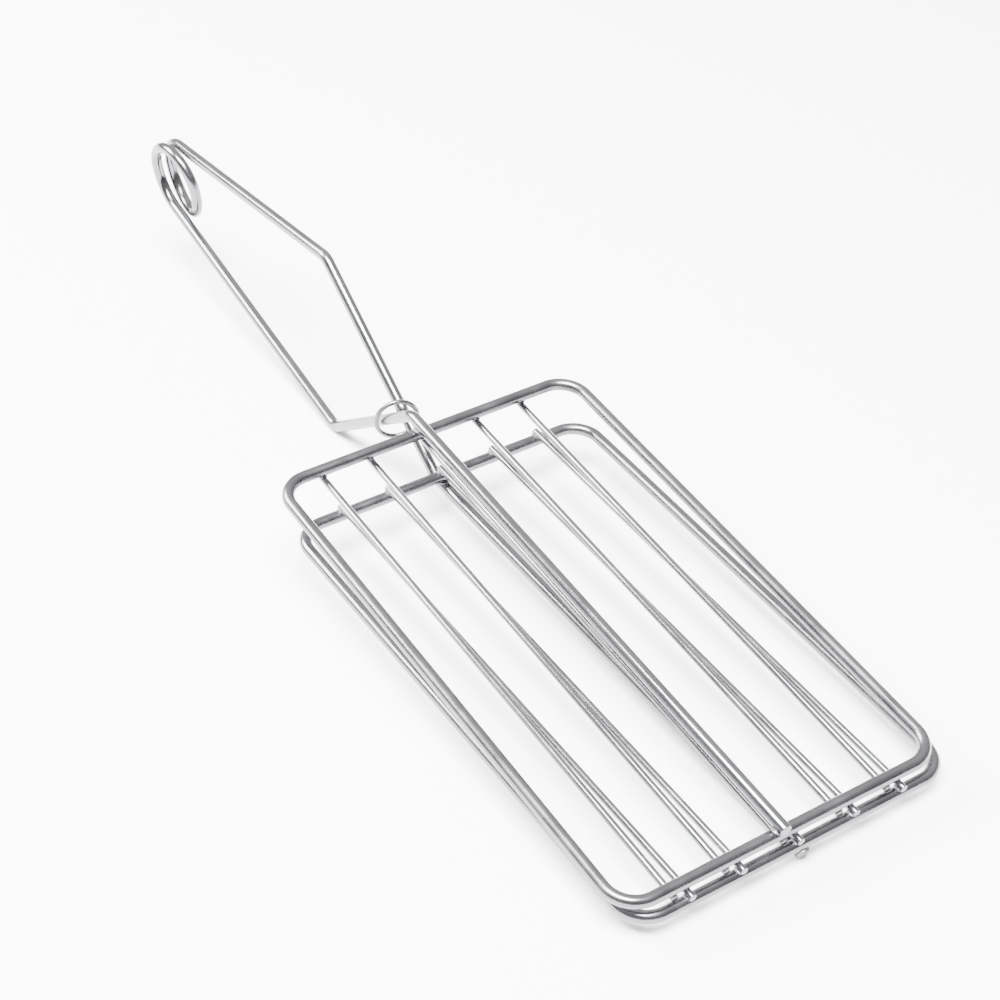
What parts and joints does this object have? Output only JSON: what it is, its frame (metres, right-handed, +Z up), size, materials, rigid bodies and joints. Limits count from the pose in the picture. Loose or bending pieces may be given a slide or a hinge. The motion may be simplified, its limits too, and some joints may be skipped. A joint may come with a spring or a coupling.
{
  "type": "sprung sandwich toasting tongs",
  "caption": "Sprung wire toasting tongs: two barred rectangular frames close on a sandwich, carried by one long wire with a torsion coil at the tail and a guide ring where its arms cross.",
  "frame": {"origin": "bottom centre of the outline, as the tongs lie on a table on the grip bend and on the front end of the lower frame's middle bar", "axes": "+X from the handle towards the frames, +Y to the left of someone who holds the handle, +Z up"},
  "size_m": [0.3795, 0.1198, 0.0631],
  "materials": {
    "long_wire": "bright chrome plate on drawn steel wire",
    "frame_wire": "bright chrome plate on drawn steel wire",
    "rod_wire": "bright chrome plate on thin drawn steel wire",
    "guide_ring_wire": "bright chrome plate on thin steel wire"
  },
  "bodies": {
    "lower_jaw": {"upper_arm": "long_wire", "spring_coil": "long_wire", "lower_frame": "frame_wire", "lower_rod_1": "rod_wire", "lower_rod_2": "rod_wire", "lower_rod_3": "rod_wire", "lower_rod_4": "rod_wire", "lower_rod_5": "rod_wire"},
    "upper_jaw": {"lower_arm": "long_wire", "upper_frame": "frame_wire", "upper_rod_1": "rod_wire", "upper_rod_2": "rod_wire", "upper_rod_3": "rod_wire", "upper_rod_4": "rod_wire", "upper_rod_5": "rod_wire"},
    "ring": {"guide_ring": "guide_ring_wire"}
  },
  "joints": [
    {"name": "jaw_opening", "type": "hinge", "parent": "lower_jaw", "child": "upper_jaw", "pos_m": [-0.17474, -0.0019, 0.04181], "axis": [0, -1, 0], "range_deg": [0, 12], "stiffness_Nm_per_rad": 10, "springref_deg": -2.86, "deforming": ["spring_coil"]},
    {"name": "ring_slide", "type": "slide", "parent": "lower_jaw", "child": "ring", "axis": [-0.8203, 0, 0.572], "range_m": [0, 0.0224]}
  ],
  "couplings": [
    {"joint": "ring_slide", "follows": "jaw_opening", "m_per_rad": 0.10539}
  ]
}
